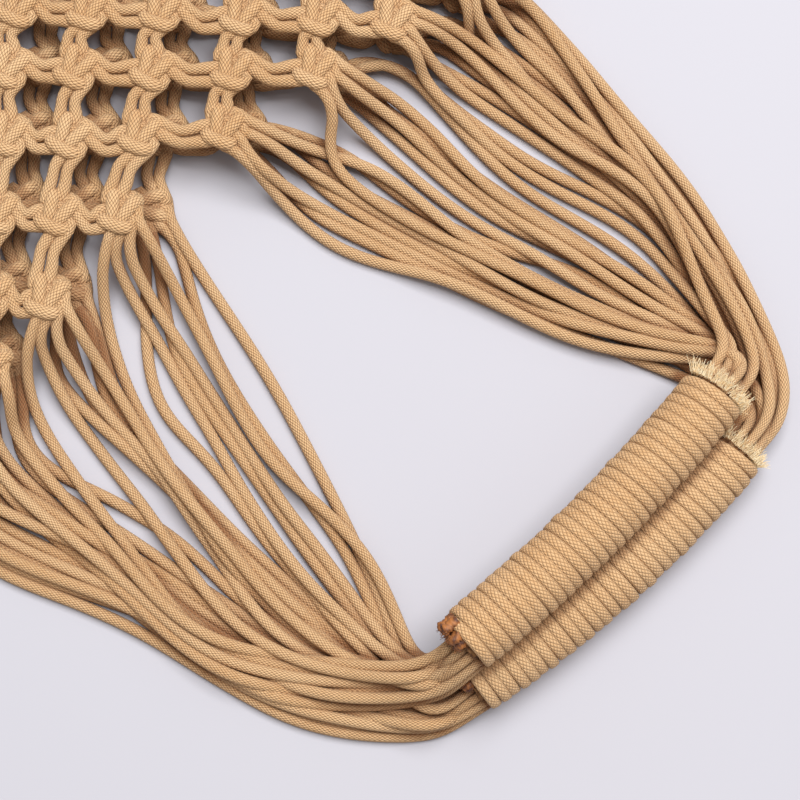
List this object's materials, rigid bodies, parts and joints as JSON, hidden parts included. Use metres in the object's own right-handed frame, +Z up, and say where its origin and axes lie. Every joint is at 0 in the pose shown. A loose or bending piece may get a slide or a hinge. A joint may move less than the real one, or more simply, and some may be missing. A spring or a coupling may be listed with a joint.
{
  "type": "woven rope bag",
  "caption": "Net tote of knotted cotton cord, lying flat, with open meshes, free strands at the mouth and two cord-wrapped handles.",
  "frame": {"origin": "on the surface that the bag lies on, under the middle of its box", "axes": "+X across the bag's width, +Y from the handles to the bottom of the net, +Z up from the surface"},
  "size_m": [0.3214, 0.4544, 0.0491],
  "materials": {
    "net_cord": "braided cotton cord, matt",
    "strand_cord": "braided cotton cord, matt",
    "wrap_cord": "tightly wound cotton cord, matt",
    "grip_core": "bundled cord, matt",
    "frayed_ends": "frayed cotton fibres, matt",
    "glued_ends": "cord ends stiff with dried glue"
  },
  "bodies": {
    "root": {"net_front": "net_cord", "net_back": "net_cord", "strands_front_left": "strand_cord", "strands_front_right": "strand_cord", "strands_back_left": "strand_cord", "strands_back_right": "strand_cord", "grip_wrap_front": "wrap_cord", "grip_wrap_back": "wrap_cord", "grip_core_front": "grip_core", "grip_core_back": "grip_core", "frayed_rim_front": "frayed_ends", "frayed_rim_back": "frayed_ends", "glued_end_front": "glued_ends", "glued_end_back": "glued_ends"}
  },
  "joints": []
}
